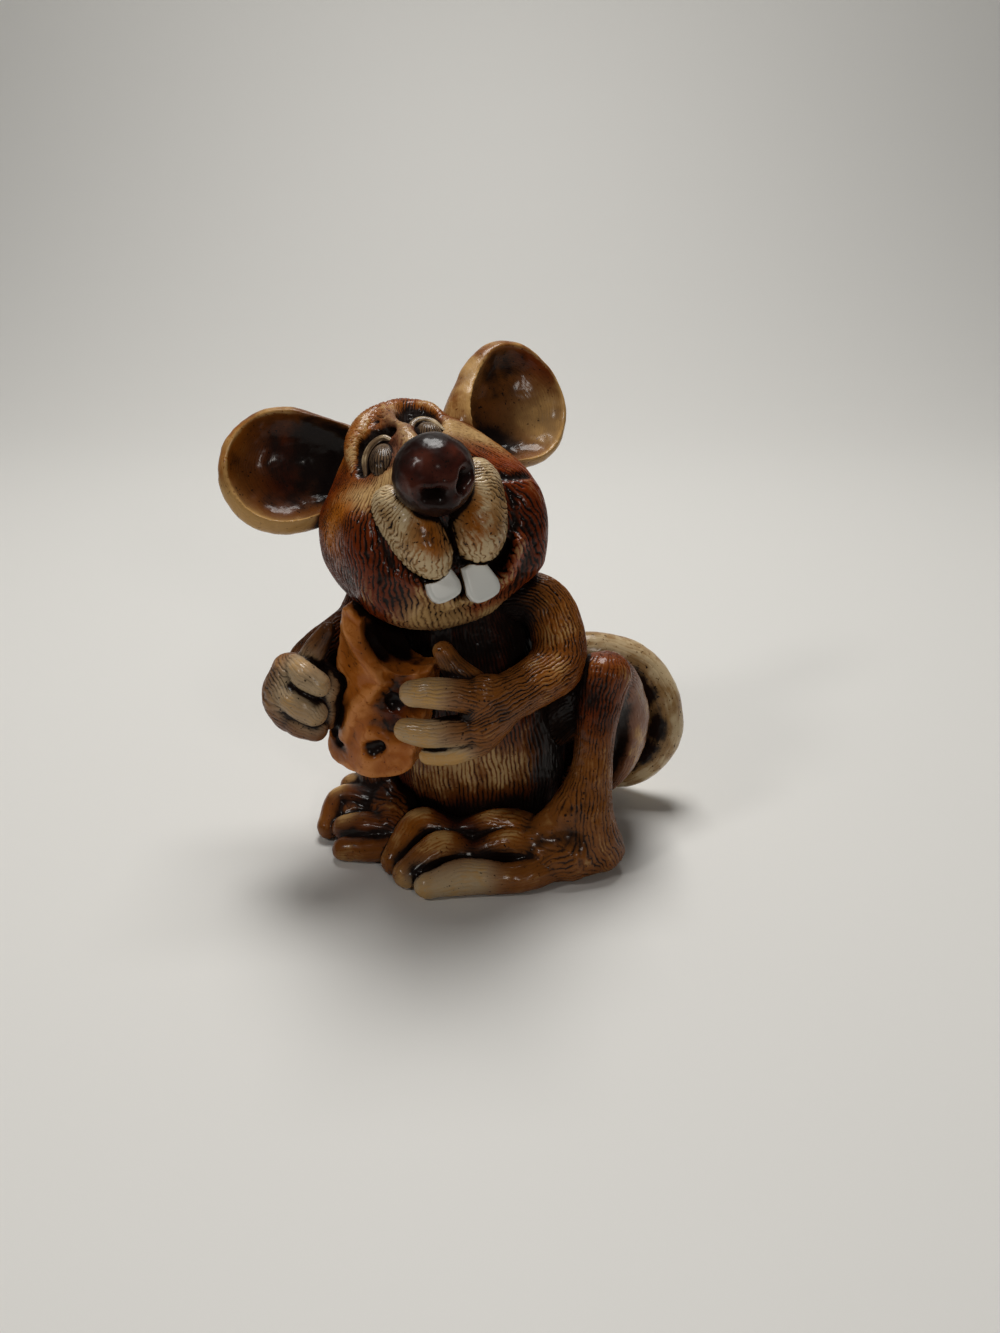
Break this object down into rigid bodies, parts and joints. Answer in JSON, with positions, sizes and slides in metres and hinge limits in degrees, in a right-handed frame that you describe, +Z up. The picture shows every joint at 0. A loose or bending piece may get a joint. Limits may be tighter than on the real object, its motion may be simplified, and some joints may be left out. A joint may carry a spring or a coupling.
{
  "type": "rat figurine",
  "caption": "Seated caricature rat of glazed ceramic, its head turned to its left, holding a wedge of cheese in both hands; a decorative figure that rests on a flat base.",
  "frame": {"origin": "middle of the torso's flat base, on the surface that the figure stands on", "axes": "+Z up, -Y to the front of the torso, +X to the figure's left"},
  "size_m": [0.0774, 0.0828, 0.0999],
  "materials": {
    "brown_glaze": "glossy glaze over a dark brown oxide wash",
    "tan_glaze": "glossy glaze over a thin brown oxide wash",
    "cream_glaze": "glossy glaze, oxide wiped off down to the cream clay",
    "dark_glaze": "glossy brown-black glaze",
    "white_glaze": "glossy white glaze",
    "orange_glaze": "glossy orange-brown glaze"
  },
  "bodies": {
    "root": {"torso": "brown_glaze", "head": "brown_glaze", "ear_left": "tan_glaze", "ear_right": "tan_glaze", "eyelid_left": "cream_glaze", "eyelid_right": "cream_glaze", "eye_left": "cream_glaze", "eye_right": "cream_glaze", "muzzle_left": "cream_glaze", "muzzle_right": "cream_glaze", "nose": "dark_glaze", "tooth_left": "white_glaze", "tooth_right": "white_glaze", "arm_left": "tan_glaze", "arm_right": "tan_glaze", "cheese": "orange_glaze", "leg_left": "tan_glaze", "leg_right": "tan_glaze", "tail": "cream_glaze"}
  },
  "joints": []
}
